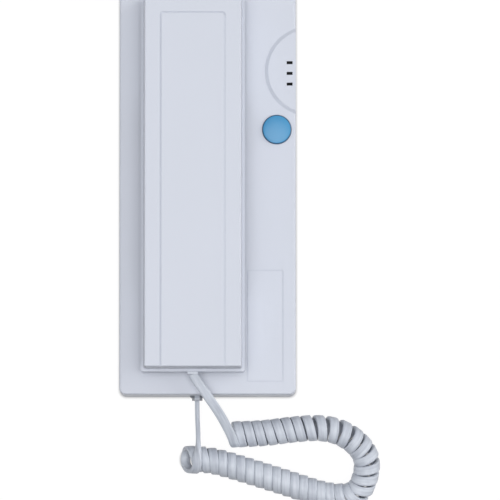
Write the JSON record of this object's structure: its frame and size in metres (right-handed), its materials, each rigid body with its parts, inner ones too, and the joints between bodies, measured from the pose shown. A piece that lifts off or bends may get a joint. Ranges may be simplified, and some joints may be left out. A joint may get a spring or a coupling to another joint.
{
  "type": "audio intercom handset",
  "caption": "Wall-mounted audio intercom with a lift-off handset, a raised sounder disc, a blue door button and a curly cord.",
  "frame": {"origin": "middle of the wall face, with the part lying on its back", "axes": "+Z out of the wall face, +Y to the unit's top, +X to its right seen from the front"},
  "size_m": [0.1369, 0.2744, 0.054],
  "materials": {
    "housing_plastic": "fine matt",
    "button_blue": "satin",
    "cord_grey": "satin",
    "plug_clear": "clear",
    "black_plastic": "matt",
    "terminal_plastic": "matt",
    "board_green": "satin",
    "capacitor_can": "satin",
    "screw_steel": "plain",
    "weight_steel": "rough",
    "foam_black": "matt",
    "rubber_black": "matt"
  },
  "bodies": {
    "base": {"back_plate": "housing_plastic", "front_cover": "housing_plastic", "cover_screw": "screw_steel", "circuit_board": "board_green", "board_screws": "screw_steel", "terminal_block": "terminal_plastic", "terminal_screws": "screw_steel", "buzzer": "black_plastic", "capacitors": "capacitor_can", "button_switch": "black_plastic", "hook_switch": "black_plastic", "base_jack": "black_plastic", "base_plug": "plug_clear", "cord_tail_handset": "cord_grey", "curly_cord": "cord_grey", "cord_tail_base": "cord_grey"},
    "handset": {"handset_back_shell": "housing_plastic", "handset_front_shell": "housing_plastic", "earpiece": "black_plastic", "earpiece_gasket": "foam_black", "microphone": "capacitor_can", "microphone_boot": "rubber_black", "handset_weight": "weight_steel", "handset_screws": "screw_steel", "handset_jack": "black_plastic", "handset_plug": "plug_clear"},
    "door_button": {"door_button": "button_blue"},
    "hook_plunger": {"hook_plunger": "housing_plastic"}
  },
  "joints": [
    {"name": "handset_lift", "type": "slide", "parent": "base", "child": "handset", "axis": [0, 0, 1], "range_m": [0, 0.04]},
    {"name": "door_button_press", "type": "slide", "parent": "base", "child": "door_button", "axis": [0, 0, -1], "range_m": [0, 0.0012], "stiffness_N_per_m": 400, "springref_m": -0.002},
    {"name": "hook_plunger_rise", "type": "slide", "parent": "base", "child": "hook_plunger", "axis": [0, 0, 1], "range_m": [0, 0.0024]}
  ],
  "couplings": [
    {"joint": "hook_plunger_rise", "follows": "handset_lift", "ratio": 0.06}
  ]
}
